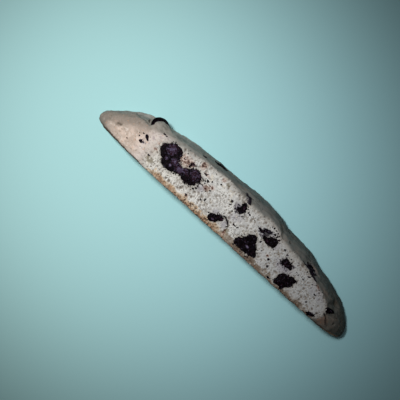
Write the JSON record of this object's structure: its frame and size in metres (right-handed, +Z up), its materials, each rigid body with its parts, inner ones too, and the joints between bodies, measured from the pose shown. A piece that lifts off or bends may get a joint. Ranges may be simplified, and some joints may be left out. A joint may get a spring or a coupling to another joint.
{
  "type": "chocolate chip biscotti slice",
  "caption": "Long twice-baked biscuit slice with a flat baked bottom, a domed crust, two knife-cut faces and dark chocolate chips set in the dough.",
  "frame": {"origin": "middle of the underside, the cut face that the slice lies on", "axes": "+X along the slice from its pale, gently sloping tip to its blunt, dark tip; +Y from the baked bottom to the domed crust; +Z up, through the slice's thickness"},
  "size_m": [0.138, 0.0234, 0.015],
  "materials": {
    "baked_dough": "matt, porous pale crumb with a smoother grey-brown crust",
    "dark_chocolate": "satin dark chocolate with a faint bloom"
  },
  "bodies": {
    "root": {"biscuit": "baked_dough", "chip_bottom": "dark_chocolate", "chip_cone": "dark_chocolate", "chip_oval": "dark_chocolate", "chip_pair": "dark_chocolate", "chip_ridge": "dark_chocolate", "chip_slant": "dark_chocolate", "chip_small": "dark_chocolate", "crown_chip": "dark_chocolate", "dome_chip": "dark_chocolate", "sliver_chip": "dark_chocolate", "sole_chip_1": "dark_chocolate", "sole_chip_2": "dark_chocolate", "sole_chip_3": "dark_chocolate", "tip_chip": "dark_chocolate", "under_chip_1": "dark_chocolate", "under_chip_2": "dark_chocolate", "under_chip_3": "dark_chocolate", "under_chip_4": "dark_chocolate", "under_chip_5": "dark_chocolate", "under_chip_6": "dark_chocolate"}
  },
  "joints": []
}
